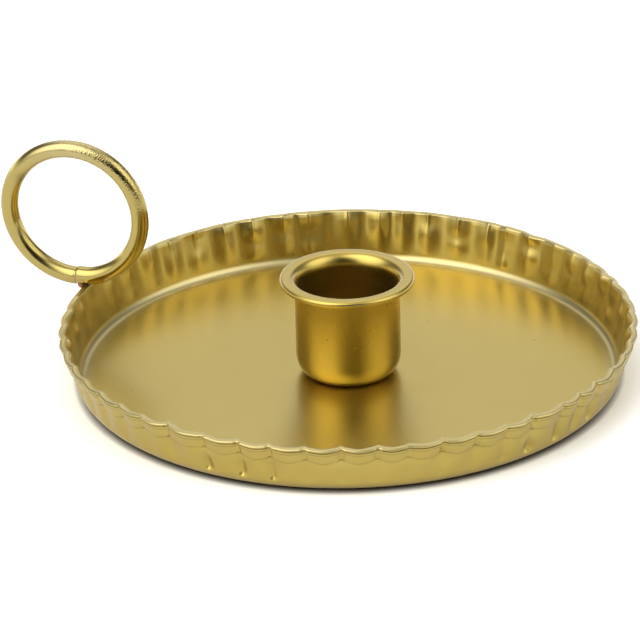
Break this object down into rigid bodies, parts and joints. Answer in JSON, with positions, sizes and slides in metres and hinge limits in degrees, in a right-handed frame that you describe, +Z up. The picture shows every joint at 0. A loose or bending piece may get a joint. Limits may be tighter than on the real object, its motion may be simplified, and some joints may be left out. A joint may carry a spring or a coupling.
{
  "type": "candle plate",
  "caption": "Round candle plate with a fluted flared wall, a central cup for one dinner candle and an upright finger ring on the rim, in satin brass.",
  "frame": {"origin": "centre of the plate's flat underside, on its axis, in the plane that rests on the table", "axes": "+Z up along the candle cup's axis; the finger ring stands on the rim at -X, so +X points away from it"},
  "size_m": [0.1582, 0.1379, 0.0506],
  "materials": {
    "plate_brass": "satin, pressed sheet with brass plating",
    "cup_brass": "satin, drawn sheet with brass plating",
    "rivet_brass": "satin",
    "ring_brass": "semi-polished, slightly pitted wire",
    "braze_copper": "rough copper-coloured braze metal"
  },
  "bodies": {
    "root": {"plate": "plate_brass", "candle_cup": "cup_brass", "cup_rivet": "rivet_brass", "ring_handle": "ring_brass", "ring_braze": "braze_copper"}
  },
  "joints": []
}
